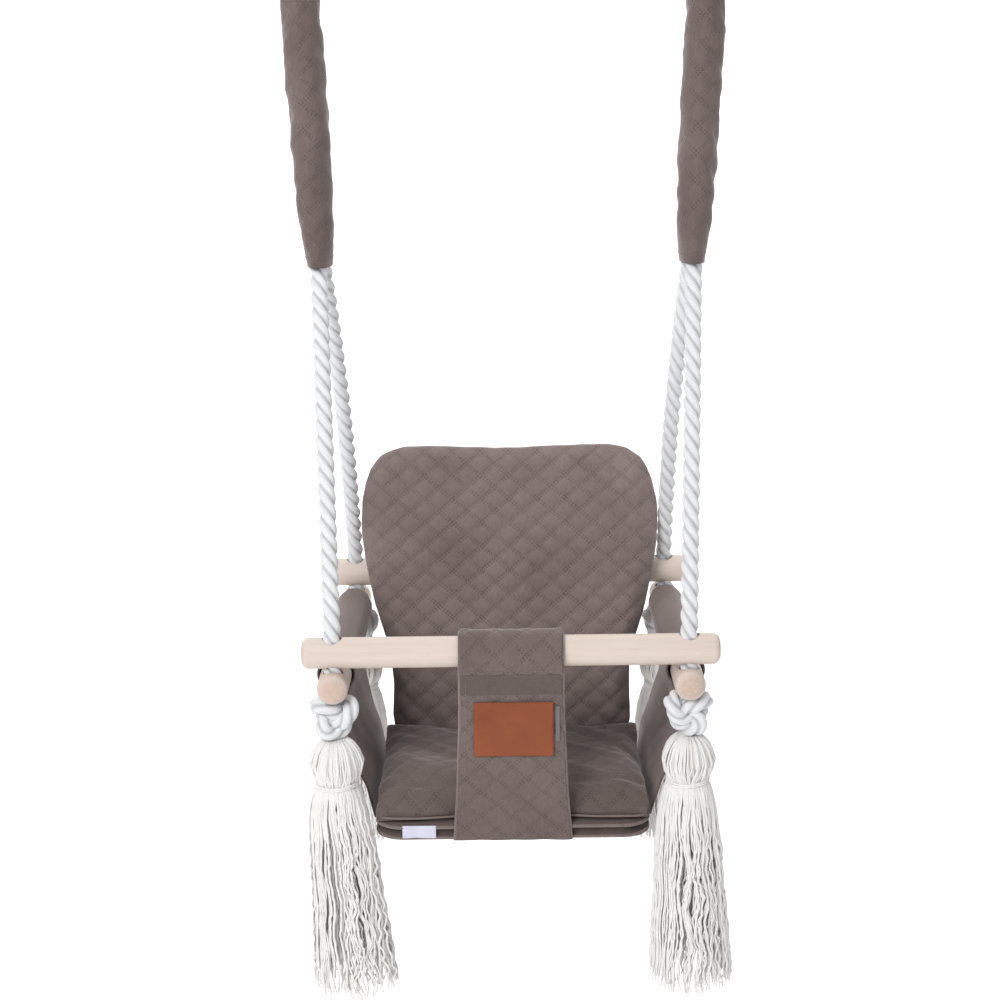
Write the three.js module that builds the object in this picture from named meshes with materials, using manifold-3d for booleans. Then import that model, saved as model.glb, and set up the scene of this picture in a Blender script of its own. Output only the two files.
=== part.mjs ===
// Toddler bucket swing: four round bars on two ropes, a soft seat, knots and tassels.
// Millimetres. X right, Y to the back, Z up. The origin is midway between the two hanging
// rings, on the line through their lowest wires, which is the axis the swing turns about.
import * as THREE from "three";
import Module from "manifold-3d";
import { mergeVertices } from "three/addons/utils/BufferGeometryUtils.js";

// ---- driving dimensions ----
const GAP = 0.4; // left between neighbours that touch
const SEAM_GAP = 1; // cloth tube to the bar inside it
const BAR_Z = -720; // centre height of the front and rear bars
const BAR_R = 15;
const BAR_HALF = 201; // front and rear bars, half length
const BAR_SPREAD = 141.5; // front and rear bars, either side of the seat's middle
const SEAT_Y = -15; // the seat's middle, put so that it hangs level
const SIDE_Z = BAR_Z - 32; // centre height of the side bars
const SIDE_HALF = 165;
const HOLE_X = 171.5; // rope holes either side of the middle
const HOLE_R = 9.8;
const BAR_ROUND = 7; // rounding of the front and rear bars' ends
const SIDE_ROUND = 9;
const ROPE_R = 8.3;
const RING_X = 201;
const RING_R = 28; // to the middle of the wire
const RING_WIRE_R = 4;
const EYE_R = 30; // rope bend over the ring's wire
const EYE_TOP = 14; // middle of the rope above the ring's wire
const LEG_Y = 8.8; // the two legs side by side in the sleeve
const JOIN_Z = BAR_Z + 379; // where the legs come together
const FLARE_Z = BAR_Z + 20; // the ropes start to lean outward here
const SLEEVE_TOP = -102;
const SLEEVE_END = -365;
const SLEEVE_WALL = 4;
const SLEEVE_PUFF = 4; // padding beyond the wall, front and back
const SLEEVE_BORE = 1.4; // clear of the rope
const KNOT_TOP = SIDE_Z - BAR_R - 1;
const KNOT_LOW = -806;
const KNOT_R = 24;
const NECK_R = 19.5; // tassel where its tie goes round
const TIE_R = 2;
const TASSEL_TOP = -808;
const TASSEL_LOW = -1074; // the front two
const REAR_SHORTER = 35; // rear tassels end this much higher
const TIE_Z = -853;
const BASE_LOW = -912;
const BASE_THICK = 15;
const BASE_HALF = 135;
const FRONT_CORNER = 20; // rounding of the base and the seat cushion
const BASE_FRONT = -149; // this and the next five are measured from the seat's middle
const BASE_BACK = 84;
const CUSHION_FRONT = -140;
const CUSHION_BACK = 44;
const CASING_FRONT = -112;
const CASING_BACK = 114;
const CUSHION_HALF = 133;
const CUSHION_THICK = 30;
const CUSHION_LIFT = 2; // seat cushion above the base
const CUSHION_SOFT = 10; // rounding of both cushions' edges
const BACK_THICK = 30;
const BACK_LEAN = 0.28; // run per rise
const BACK_BEHIND = 18; // back face of the back cushion ahead of the rear bar's middle
const TUNNEL_HALF = 118;
const TUNNEL_WALL = 1.6;
const CASING_WALL = 2.6;
const PANEL_THICK = 5;
const STRAP_THICK = 4.5;
const STRAP_TOP_HALF = 49;
const STRAP_LOW_HALF = 57;
const PATCH = { half: 38.5, high: 27.5, thick: 1.6, x: 2, z: -795 };
const TAPE = { width: 4, thick: 1, high: 36, x: 44.5, z: -790 };
const LABEL = { width: 33, thick: 0.8, high: 13, x: -92, up: 9 };

const frontY = SEAT_Y - BAR_SPREAD;
const rearY = SEAT_Y + BAR_SPREAD;

// ---- solids and booleans ----
const wasm = await Module();
wasm.setup();

function solid(geometry) {
  const plain = geometry.clone();
  plain.deleteAttribute("normal");
  plain.deleteAttribute("uv");
  const merged = mergeVertices(plain, 1e-4);
  const vertProperties = new Float32Array(merged.attributes.position.array);
  const triVerts = new Uint32Array(merged.index.array);
  return new wasm.Manifold(new wasm.Mesh({ numProp: 3, vertProperties, triVerts }));
}

function geometryOf(body) {
  const mesh = body.getMesh();
  const geometry = new THREE.BufferGeometry();
  geometry.setAttribute("position", new THREE.BufferAttribute(mesh.vertProperties, 3));
  geometry.setIndex(new THREE.BufferAttribute(mesh.triVerts, 1));
  geometry.computeVertexNormals();
  return geometry;
}

const group = new THREE.Group();
group.name = "toddler_bucket_swing";

function place(name, geometry, color, roughness) {
  const material = new THREE.MeshStandardMaterial({ color, roughness, metalness: 0 });
  material.name = `${name}_material`;
  const mesh = new THREE.Mesh(geometry, material);
  mesh.name = name;
  group.add(mesh);
  return mesh;
}

const WOOD = [0xe4dad4, 0.5];
const ROPE = [0xdedfe2, 0.9];
const CLOTH = [0x7f716d, 0.85];
const QUILT = [0x75676a, 0.85];
const STEEL = [0xb8bcc0, 0.35];

// A pill-ended bar along Z, centred on the origin
function bar(half, radius, round) {
  const points = [new THREE.Vector2(0, -half)];
  for (const end of [-1, 1]) {
    for (let i = 0; i <= 3; i++) {
      const a = ((end < 0 ? i : 3 - i) / 3) * (Math.PI / 2);
      const r = radius - round + round * Math.sin(a);
      points.push(new THREE.Vector2(r, end * (half - round + round * Math.cos(a))));
    }
  }
  points.push(new THREE.Vector2(0, half));
  return new THREE.LatheGeometry(points, 24);
}

function drill(geometry, holes) {
  let body = solid(geometry);
  for (const [x, y, z] of holes) {
    const tool = new THREE.CylinderGeometry(HOLE_R, HOLE_R, BAR_R * 3, 20);
    tool.rotateX(Math.PI / 2).translate(x, y, z);
    body = body.subtract(solid(tool));
  }
  return geometryOf(body);
}

// A solid from closed rings of points, each ring joined to the next; ends capped by fans.
// With closed = true the last ring joins the first, which makes a tube with a wall.
function loft(rings, closed = false) {
  const n = rings[0].length;
  const position = rings.flat().flatMap((p) => [p.x, p.y, p.z]);
  const index = [];
  const last = closed ? rings.length : rings.length - 1;
  for (let r = 0; r < last; r++) {
    const a = r * n;
    const b = ((r + 1) % rings.length) * n;
    for (let i = 0; i < n; i++) {
      const j = (i + 1) % n;
      index.push(a + i, a + j, b + j, a + i, b + j, b + i);
    }
  }
  if (!closed) {
    for (const [ring, flip] of [[0, true], [rings.length - 1, false]]) {
      const middle = position.length / 3;
      const sum = rings[ring].reduce((s, p) => s.add(p), new THREE.Vector3()).divideScalar(n);
      position.push(sum.x, sum.y, sum.z);
      for (let i = 0; i < n; i++) {
        const j = (i + 1) % n;
        const at = ring * n;
        index.push(...(flip ? [middle, at + j, at + i] : [middle, at + i, at + j]));
      }
    }
  }
  const geometry = new THREE.BufferGeometry();
  geometry.setAttribute("position", new THREE.Float32BufferAttribute(position, 3));
  geometry.setIndex(index);
  geometry.computeVertexNormals();
  return geometry;
}

// Either order of winding is accepted: the volume's sign says which way it faces
function solidLoft(rings) {
  const flat = loft(rings).toNonIndexed();
  const p = flat.attributes.position;
  let volume = 0;
  const [a, b, c] = [new THREE.Vector3(), new THREE.Vector3(), new THREE.Vector3()];
  for (let i = 0; i < p.count; i += 3) {
    a.fromBufferAttribute(p, i);
    b.fromBufferAttribute(p, i + 1);
    c.fromBufferAttribute(p, i + 2);
    volume += a.dot(b.cross(c));
  }
  if (volume < 0) {
    const array = flat.attributes.position.array;
    for (let i = 0; i < array.length; i += 9) {
      for (let k = 0; k < 3; k++) {
        const keep = array[i + 3 + k];
        array[i + 3 + k] = array[i + 6 + k];
        array[i + 6 + k] = keep;
      }
    }
  }
  return solid(flat);
}

function oval(cx, cy, z, rx, ry, n = 18) {
  return Array.from({ length: n }, (_, i) => {
    const a = (i / n) * Math.PI * 2;
    return new THREE.Vector3(cx + rx * Math.cos(a), cy + ry * Math.sin(a), z);
  });
}

// A cushion: a flat outline (points in the plane, anticlockwise) given thickness and soft edges
function cushion(outline, thick, soft) {
  const shape = new THREE.Shape(outline.map(([x, y]) => new THREE.Vector2(x, y)));
  const geometry = new THREE.ExtrudeGeometry(shape, {
    depth: thick - 2 * soft,
    bevelEnabled: true,
    bevelThickness: soft,
    bevelSize: soft,
    bevelOffset: -soft,
    bevelSegments: 2,
    curveSegments: 6,
  });
  return geometry.translate(0, 0, soft - thick / 2);
}

// A rectangle outline with rounded corners: [corner x, corner y, radius] in order
function rounded(corners, steps = 6) {
  const points = [];
  corners.forEach(([x, y, r], k) => {
    const before = corners[(k + corners.length - 1) % corners.length];
    const after = corners[(k + 1) % corners.length];
    const here = new THREE.Vector2(x, y);
    const toBefore = new THREE.Vector2(before[0] - x, before[1] - y).normalize();
    const toAfter = new THREE.Vector2(after[0] - x, after[1] - y).normalize();
    const start = here.clone().addScaledVector(toBefore, r);
    const end = here.clone().addScaledVector(toAfter, r);
    if (r === 0) points.push([x, y]);
    else {
      const curve = new THREE.QuadraticBezierCurve(start, here, end);
      for (const p of curve.getPoints(steps)) points.push([p.x, p.y]);
    }
  });
  return points;
}

// ---- wooden bars ----
for (const [name, y] of [["front_bar", frontY], ["rear_bar", rearY]]) {
  const geometry = bar(BAR_HALF, BAR_R, BAR_ROUND);
  geometry.rotateZ(Math.PI / 2).translate(0, y, BAR_Z);
  place(name, drill(geometry, [[-HOLE_X, y, BAR_Z], [HOLE_X, y, BAR_Z]]), ...WOOD);
}
const sides = [["left", -1], ["right", 1]];
for (const [side, s] of sides) {
  const geometry = bar(SIDE_HALF, BAR_R, SIDE_ROUND);
  geometry.translate(s * HOLE_X, SEAT_Y, SIDE_Z);
  const holes = [[s * HOLE_X, frontY, SIDE_Z], [s * HOLE_X, rearY, SIDE_Z]];
  place(`${side}_side_bar`, drill(geometry, holes), ...WOOD);
}

// ---- ropes: from the front knot up, over the ring, and down to the rear knot ----
function ropeX(z) {
  return z < FLARE_Z ? HOLE_X : HOLE_X + ((RING_X - HOLE_X) * (z - FLARE_Z)) / -FLARE_Z;
}

function ropeRoute(s) {
  const leg = (y, sign) => [
    [y, KNOT_TOP + GAP],
    [y, BAR_Z - BAR_R],
    [y, FLARE_Z],
    [y + (sign * LEG_Y - y) * 0.25, FLARE_Z + (JOIN_Z - FLARE_Z) * 0.25],
    [y + (sign * LEG_Y - y) * 0.5, FLARE_Z + (JOIN_Z - FLARE_Z) * 0.5],
    [y + (sign * LEG_Y - y) * 0.75, FLARE_Z + (JOIN_Z - FLARE_Z) * 0.75],
    [y + (sign * LEG_Y - y) * 0.96, FLARE_Z + (JOIN_Z - FLARE_Z) * 0.96],
    [sign * LEG_Y, JOIN_Z + 20],
    [sign * LEG_Y, JOIN_Z + 100],
    [sign * LEG_Y, -160],
    [sign * (LEG_Y + 0.3), -112],
    [sign * (LEG_Y + 9), -72],
    [sign * (EYE_R - 3), EYE_TOP - EYE_R - 22],
  ];
  const bend = [0, 22.5, 45, 67.5, 90, 112.5, 135, 157.5, 180].map((deg) => {
    const a = (deg * Math.PI) / 180;
    return [-EYE_R * Math.cos(a), EYE_TOP - EYE_R + EYE_R * Math.sin(a)];
  });
  const route = [...leg(frontY, -1), ...bend, ...leg(rearY, 1).reverse()];
  return route.map(([y, z]) => new THREE.Vector3(s * ropeX(z), y, z));
}

for (const [side, s] of sides) {
  const curve = new THREE.CatmullRomCurve3(ropeRoute(s), false, "centripetal");
  const section = new THREE.Shape(
    Array.from({ length: 8 }, (_, i) => {
      const a = (i / 8) * Math.PI * 2;
      return new THREE.Vector2(ROPE_R * Math.cos(a), ROPE_R * Math.sin(a));
    }),
  );
  const rope = new THREE.ExtrudeGeometry(section, { steps: 78, extrudePath: curve });
  place(`${side}_rope`, rope, ...ROPE);
}

// ---- hanging rings, square to the rope loops ----
for (const [side, s] of sides) {
  const ring = new THREE.TorusGeometry(RING_R, RING_WIRE_R, 8, 28);
  ring.rotateX(Math.PI / 2).translate(s * RING_X, 0, RING_R);
  place(`${side}_ring`, ring, ...STEEL);
}

// ---- quilted sleeves over the doubled ropes ----
function legY(z) {
  if (z >= JOIN_Z) return LEG_Y;
  return LEG_Y + ((BAR_SPREAD - LEG_Y) * (JOIN_Z - z)) / (JOIN_Z - FLARE_Z);
}
function legMiddle(z) {
  return z >= JOIN_Z ? 0 : (SEAT_Y * (JOIN_Z - z)) / (JOIN_Z - FLARE_Z);
}
for (const [side, s] of sides) {
  const heights = [SLEEVE_END, -352, -335, -300, -250, -200, -150, -120, SLEEVE_TOP];
  const widths = [13.2, 14.8, 16.5, 18.5, 19, 19, 19, 18.5, 14.4];
  const inner = heights.map((z) => {
    const rx = ROPE_R + SLEEVE_BORE + 1.6;
    return oval(s * ropeX(z), legMiddle(z), z, rx, legY(z) + rx + 1);
  });
  const outer = heights.map((z, i) => {
    const ry = legY(z) + ROPE_R + SLEEVE_WALL + SLEEVE_PUFF;
    return oval(s * ropeX(z), legMiddle(z), z, Math.max(widths[i], ROPE_R + 4), ry);
  });
  place(`${side}_rope_sleeve`, loft([...outer, ...inner.reverse()], true), ...QUILT);
}

// ---- knots, tassels and their ties, one at each rope end ----
function lathe(profile, segments = 18) {
  const points = profile.map(([r, z]) => new THREE.Vector2(r, z));
  return new THREE.LatheGeometry(points, segments).rotateX(Math.PI / 2);
}
const knotProfile = [
  [0, KNOT_LOW], [10, KNOT_LOW], [18, KNOT_LOW + 3], [KNOT_R - 1, KNOT_LOW + 10],
  [KNOT_R, KNOT_LOW + 19], [KNOT_R - 2, KNOT_LOW + 28], [18, KNOT_TOP - 3],
  [12, KNOT_TOP], [0, KNOT_TOP],
];
const tasselProfile = (low) => [
  [0, low], [43, low], [45.5, low + 12], [42, low + 70], [35, low + 130],
  [30, TIE_Z - 35], [24, TIE_Z - 8], [NECK_R, TIE_Z - 3], [NECK_R, TIE_Z + 3],
  [25, TIE_Z + 12], [27, TIE_Z + 21], [25, TASSEL_TOP - 11], [15, TASSEL_TOP - 2.5],
  [0, TASSEL_TOP],
];
for (const [side, s] of sides) {
  for (const [end, y] of [["front", frontY], ["rear", rearY]]) {
    const name = `${side}_${end}`;
    const at = (geometry) => geometry.translate(s * HOLE_X, y, 0);
    place(`${name}_knot`, at(lathe(knotProfile)), ...ROPE);
    const low = TASSEL_LOW + (end === "rear" ? REAR_SHORTER : 0);
    place(`${name}_tassel`, at(lathe(tasselProfile(low), 20)), ...ROPE);
    const tie = new THREE.TorusGeometry(NECK_R + GAP + 2.2, TIE_R, 6, 20).translate(0, 0, TIE_Z);
    place(`${name}_tie`, at(tie), ...ROPE);
  }
}

// ---- side panels: a casing round each side bar and a slope down to the seat base ----
const CASING_IN = BAR_R + SEAM_GAP;
const CASING_OUT = CASING_IN + CASING_WALL;
for (const [side, s] of sides) {
  const length = CASING_BACK - CASING_FRONT;
  const ring = new THREE.Shape();
  ring.absarc(0, 0, CASING_OUT, 0, Math.PI * 2);
  ring.holes.push(new THREE.Path().absarc(0, 0, CASING_IN, 0, Math.PI * 2, true));
  const casing = new THREE.ExtrudeGeometry(ring, { depth: length, curveSegments: 9 });
  casing.rotateX(Math.PI / 2).translate(s * HOLE_X, SEAT_Y + CASING_BACK, SIDE_Z);
  // the sheet hangs from under the casing, then slopes in to the base's edge
  const topX = HOLE_X - 6;
  const lowX = BASE_HALF + GAP + PANEL_THICK / 2 + 2;
  const lowZ = BASE_LOW + 1;
  const rows = [
    [topX, SIDE_Z - CASING_OUT + 2.5, CASING_FRONT, CASING_BACK],
    [topX + 1, SIDE_Z - 44, CASING_FRONT + 3, CASING_BACK - 5],
    [topX + 0.5, SIDE_Z - 70, CASING_FRONT + 9, CASING_BACK - 11],
    [lowX + 17, SIDE_Z - 102, CASING_FRONT + 13, CASING_BACK - 15],
    [lowX + 7.5, SIDE_Z - 125, CASING_FRONT + 15, CASING_BACK - 21],
    [lowX, lowZ, CASING_FRONT + 15, BASE_BACK],
  ];
  const rings = rows.map(([x, z, front, back]) =>
    [[-1, front], [1, front], [1, back], [-1, back]].map(
      ([t, y]) => new THREE.Vector3(s * (x + (t * PANEL_THICK) / 2), SEAT_Y + y, z),
    ),
  );
  const panel = solidLoft(rings).add(solid(casing));
  place(`${side}_side_panel`, geometryOf(panel), ...CLOTH);
}

// ---- seat base and cushion ----
const baseOutline = rounded([
  [-BASE_HALF, SEAT_Y + BASE_FRONT, FRONT_CORNER],
  [BASE_HALF, SEAT_Y + BASE_FRONT, FRONT_CORNER],
  [BASE_HALF, SEAT_Y + BASE_BACK, 12], [-BASE_HALF, SEAT_Y + BASE_BACK, 12],
]);
const base = cushion(baseOutline, BASE_THICK, 4).translate(0, 0, BASE_LOW + BASE_THICK / 2);
place("seat_base", base, ...CLOTH);

const cushionOutline = rounded([
  [-CUSHION_HALF, SEAT_Y + CUSHION_FRONT, FRONT_CORNER],
  [CUSHION_HALF, SEAT_Y + CUSHION_FRONT, FRONT_CORNER],
  [CUSHION_HALF, SEAT_Y + CUSHION_BACK, 14], [-CUSHION_HALF, SEAT_Y + CUSHION_BACK, 14],
]);
const seatLow = BASE_LOW + BASE_THICK + CUSHION_LIFT;
const seat = cushion(cushionOutline, CUSHION_THICK, CUSHION_SOFT);
seat.translate(0, 0, seatLow + CUSHION_THICK / 2);
place("seat_cushion", seat, ...CLOTH);

// ---- back cushion, leaning, and the tunnel that hangs it on the rear bar ----
const backEdge = [
  [117, -175], [127, -166], [131, -120], [135, -74], [147, -40], [156, 0], [162, 36],
  [162.5, 66], [157, 102], [145, 129], [119, 144],
];
const backLoop = [...backEdge, [0, 145], ...backEdge.map(([x, z]) => [-x, z]).reverse(), [0, -176]];
const backCurve = new THREE.CatmullRomCurve3(
  backLoop.map(([x, z]) => new THREE.Vector3(x, z, 0)),
  true,
  "centripetal",
);
const backOutline = backCurve.getSpacedPoints(48).slice(0, -1).map((p) => [p.x, p.y]);
const lean = Math.atan(BACK_LEAN);
const back = cushion(backOutline, BACK_THICK, CUSHION_SOFT);
back.rotateX(Math.PI / 2 - lean);
back.translate(0, rearY - (BACK_BEHIND + BACK_THICK / 2) / Math.cos(lean), BAR_Z);
place("back_cushion", back, ...QUILT);

const TUNNEL_IN = BAR_R + SEAM_GAP;
const TUNNEL_OUT = TUNNEL_IN + TUNNEL_WALL;
const tunnelShape = new THREE.Shape();
tunnelShape.absarc(0, 0, TUNNEL_OUT, 0, Math.PI * 2);
tunnelShape.holes.push(new THREE.Path().absarc(0, 0, TUNNEL_IN, 0, Math.PI * 2, true));
const tunnel = new THREE.ExtrudeGeometry(tunnelShape, {
  depth: 2 * TUNNEL_HALF,
  curveSegments: 9,
});
tunnel.rotateY(Math.PI / 2).translate(-TUNNEL_HALF, rearY, BAR_Z);
place("rear_bar_tunnel", tunnel, ...CLOTH);

// ---- crotch strap: a loop round the front bar and a flat strap down to the base's edge ----
const STRAP_Y = SEAT_Y + BASE_FRONT - GAP - STRAP_THICK / 2; // middle of the flat strap
const LOOP_IN = BAR_R + SEAM_GAP + 0.2;
const LOOP_OUT = LOOP_IN + STRAP_THICK;
const loopShape = new THREE.Shape();
loopShape.absarc(0, 0, LOOP_OUT, 0, Math.PI * 2);
loopShape.holes.push(new THREE.Path().absarc(0, 0, LOOP_IN, 0, Math.PI * 2, true));
const loop = new THREE.ExtrudeGeometry(loopShape, {
  depth: 2 * STRAP_TOP_HALF,
  curveSegments: 9,
});
loop.rotateY(Math.PI / 2).translate(-STRAP_TOP_HALF, frontY, BAR_Z);
const strapRows = [
  [frontY - 12, BAR_Z - LOOP_IN + 1, STRAP_TOP_HALF, 6],
  [frontY - 10, BAR_Z - LOOP_OUT - 6, STRAP_TOP_HALF, STRAP_THICK / 2],
  [STRAP_Y, -790, STRAP_TOP_HALF + 1, STRAP_THICK / 2],
  [STRAP_Y, -860, STRAP_TOP_HALF + 4, STRAP_THICK / 2],
  [STRAP_Y, BASE_LOW, STRAP_LOW_HALF, STRAP_THICK / 2],
];
const strapRings = strapRows.map(([y, z, half, t]) =>
  [[-half, -t], [half, -t], [half, t], [-half, t]].map(([x, d]) => new THREE.Vector3(x, y + d, z)),
);
place("crotch_strap", geometryOf(solid(loop).add(solidLoft(strapRings))), ...QUILT);

// ---- small sewn-on pieces ----
const patchOutline = rounded([
  [-PATCH.half, -PATCH.high, 2], [PATCH.half, -PATCH.high, 2],
  [PATCH.half, PATCH.high, 2], [-PATCH.half, PATCH.high, 2],
], 3);
const patch = cushion(patchOutline, PATCH.thick, 0.4).rotateX(Math.PI / 2);
const patchY = STRAP_Y - STRAP_THICK / 2 - GAP - PATCH.thick / 2;
patch.translate(PATCH.x, patchY, PATCH.z);
place("leather_patch", patch, 0x9c5532, 0.6);

const tape = new THREE.BoxGeometry(TAPE.width, TAPE.thick, TAPE.high);
tape.translate(TAPE.x, STRAP_Y - (STRAP_THICK + TAPE.thick) / 2 - GAP, TAPE.z);
place("closure_tape", tape, 0x8c8481, 0.9);

const label = new THREE.BoxGeometry(LABEL.width, LABEL.thick, LABEL.high);
label.translate(LABEL.x, SEAT_Y + BASE_FRONT - LABEL.thick / 2 - GAP, BASE_LOW + LABEL.up);
place("side_label", label, 0xf0f0f2, 0.8);

export default group;
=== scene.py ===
import math
import random

import bmesh
import bpy
import numpy as np
from mathutils import Matrix, Vector, noise
from mathutils.bvhtree import BVHTree


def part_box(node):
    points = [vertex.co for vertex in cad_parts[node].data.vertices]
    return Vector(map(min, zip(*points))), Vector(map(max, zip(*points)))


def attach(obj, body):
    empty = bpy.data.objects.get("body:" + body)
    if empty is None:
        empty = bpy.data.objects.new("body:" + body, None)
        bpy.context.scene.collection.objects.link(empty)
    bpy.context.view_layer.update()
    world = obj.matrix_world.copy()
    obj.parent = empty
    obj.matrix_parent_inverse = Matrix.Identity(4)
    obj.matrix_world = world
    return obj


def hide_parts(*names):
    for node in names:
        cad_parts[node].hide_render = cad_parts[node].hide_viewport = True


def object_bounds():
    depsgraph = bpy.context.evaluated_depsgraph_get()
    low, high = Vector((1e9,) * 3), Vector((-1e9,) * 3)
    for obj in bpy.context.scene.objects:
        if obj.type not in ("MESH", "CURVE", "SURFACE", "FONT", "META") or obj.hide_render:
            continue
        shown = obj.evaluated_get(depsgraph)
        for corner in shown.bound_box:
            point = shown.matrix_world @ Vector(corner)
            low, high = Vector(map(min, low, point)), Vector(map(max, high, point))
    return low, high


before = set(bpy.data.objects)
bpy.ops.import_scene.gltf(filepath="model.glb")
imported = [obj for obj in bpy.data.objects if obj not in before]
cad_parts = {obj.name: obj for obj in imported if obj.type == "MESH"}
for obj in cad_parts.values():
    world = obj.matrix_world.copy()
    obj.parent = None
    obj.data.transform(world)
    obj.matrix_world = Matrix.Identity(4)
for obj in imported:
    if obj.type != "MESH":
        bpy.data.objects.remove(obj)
cad_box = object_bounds()

# ---- places read from the frame ----
def centre(node):
    low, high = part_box(node)
    return [(a + b) / 2 for a, b in zip(low, high)]


FRONT_Y, BAR_Z = centre("front_bar")[1:]
REAR_Y = centre("rear_bar")[1]
SEAT_Y = (FRONT_Y + REAR_Y) / 2
SIDE_Z = centre("left_side_bar")[2]
HOLE_X = centre("right_side_bar")[0]
BAR_R = (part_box("front_bar")[1][2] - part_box("front_bar")[0][2]) / 2
RING_X = centre("right_ring")[0]
KNOT_LOW, KNOT_TOP = (corner[2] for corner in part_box("left_front_knot"))
TASSEL_LOW, TASSEL_TOP = (corner[2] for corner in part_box("left_front_tassel"))
TIE_Z = centre("left_front_tie")[2]
(_, BASE_FRONT, BASE_LOW), (BASE_HALF, BASE_BACK, BASE_TOP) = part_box("seat_base")
SIDES = (("left", -1), ("right", 1))

# ---- sizes in metres, angles in radians ----
BAR_SPREAD = (REAR_Y - FRONT_Y) / 2
CASING_R = BAR_R + 0.0024
BACK_LEAN = math.atan(0.28)
ROPE_R = 0.0088  # over the three strands, which stand proud of the rope's nominal size
ROPE_LAY = 0.048
ROPE_HOLE_R = 0.0096
DIAMOND_W, DIAMOND_H = 0.0305, 0.0258
STITCH_ROW, STITCH_STEP = 0.0013, 0.0034  # off the sewn line and along it
CAMERA_PITCH = math.radians(13.7)
CAMERA_ROLL = math.radians(-0.7)
CAMERA_BACK, CAMERA_RISE = 1.725, 0.145  # from the front bar, along and across the view
CLOTH_LIT = (0.165, 0.127, 0.117)
CLOTH_DIM = (0.112, 0.084, 0.077)


# ---- helpers: objects ----
def set_all(target, **settings):
    for key, value in settings.items():
        setattr(target, key, value)
    return target


def new_object(name, data):
    obj = bpy.data.objects.new(name, data)
    bpy.context.scene.collection.objects.link(obj)
    return obj


# ---- camera ----
camera_data = bpy.data.cameras.new("camera")
set_all(camera_data, lens=64.6, sensor_width=36, shift_x=-0.009, clip_start=0.05)
camera = new_object("camera", camera_data)
camera.location = (
    0,
    FRONT_Y - CAMERA_BACK * math.cos(CAMERA_PITCH) + CAMERA_RISE * math.sin(CAMERA_PITCH),
    BAR_Z + CAMERA_BACK * math.sin(CAMERA_PITCH) + CAMERA_RISE * math.cos(CAMERA_PITCH),
)
tip = Matrix.Rotation(math.pi / 2 - CAMERA_PITCH, 3, "X") @ Matrix.Rotation(CAMERA_ROLL, 3, "Z")
camera.rotation_euler = tip.to_euler()
bpy.context.scene.camera = camera


# ---- helpers: meshes ----
def shade_smooth(obj):
    obj.data.polygons.foreach_set("use_smooth", [True] * len(obj.data.polygons))


def add_mesh(name, verts, faces, material):
    data = bpy.data.meshes.new(name)
    data.from_pydata([tuple(v) for v in verts], [], faces)
    data.validate()
    data.materials.append(material)
    obj = new_object(name, data)
    shade_smooth(obj)
    return obj


def outward(obj, merge=False):
    """Turn all faces outward, with vertices that lie in one place merged first if asked for."""
    bm = bmesh.new()
    bm.from_mesh(obj.data)
    if merge:
        bmesh.ops.remove_doubles(bm, verts=bm.verts, dist=1e-6)
    bmesh.ops.recalc_face_normals(bm, faces=bm.faces)
    bm.to_mesh(obj.data)
    bm.free()
    return obj


def coords(obj):
    co = np.empty(len(obj.data.vertices) * 3)
    obj.data.vertices.foreach_get("co", co)
    return co.reshape(-1, 3)


def normals(obj):
    no = np.empty(len(obj.data.vertices) * 3)
    obj.data.vertex_normals.foreach_get("vector", no)
    return no.reshape(-1, 3)


def set_coords(obj, co):
    obj.data.vertices.foreach_set("co", np.asarray(co, float).ravel())
    obj.data.update()


def vector_attribute(obj, name, values):
    attribute = obj.data.attributes.new(name, "FLOAT_VECTOR", "POINT")
    attribute.data.foreach_set("vector", np.asarray(values, np.float32).ravel())


def modify(obj, kind, **settings):
    return set_all(obj.modifiers.new(kind.lower(), kind), **settings)


def apply_modifiers(obj):
    depsgraph = bpy.context.evaluated_depsgraph_get()
    data = bpy.data.meshes.new_from_object(obj.evaluated_get(depsgraph))
    obj.modifiers.clear()
    old = obj.data
    obj.data = data
    bpy.data.meshes.remove(old)
    return obj


def grid_faces(rows, cols, wrap_cols=False, wrap_rows=False, start=0):
    faces = []
    for r in range(rows if wrap_rows else rows - 1):
        for c in range(cols if wrap_cols else cols - 1):
            a, b = start + r * cols, start + ((r + 1) % rows) * cols
            d = (c + 1) % cols
            faces.append((a + c, a + d, b + d, b + c))
    return faces


def cap_faces(rows, around, start=0):
    """The two end faces of a tube made of rings."""
    last = start + (rows - 1) * around
    return [tuple(range(start + around - 1, start - 1, -1)), tuple(range(last, last + around))]


def transport_frames(points):
    """Tangent, normal and binormal along a line of points, with no twist."""
    p = np.asarray(points, float)
    tangent = np.gradient(p, axis=0)
    tangent /= np.linalg.norm(tangent, axis=1)[:, None]
    normal = np.cross(tangent[0], (0.0, 1.0, 0.0))
    if np.linalg.norm(normal) < 0.1:
        normal = np.cross(tangent[0], (1.0, 0.0, 0.0))
    frames = []
    for t in tangent:
        normal = normal - t * (normal @ t)
        normal /= np.linalg.norm(normal)
        frames.append((t, normal.copy(), np.cross(t, normal)))
    return p, frames


def distance_along(points):
    return np.r_[0, np.cumsum(np.linalg.norm(np.diff(points, axis=0), axis=1))]


def resample(points, step):
    p = np.asarray(points, float)
    at = distance_along(p)
    n = max(2, int(round(at[-1] / step)) + 1)
    s = np.linspace(0, at[-1], n)
    return np.column_stack([np.interp(s, at, p[:, i]) for i in range(3)]), s


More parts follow.
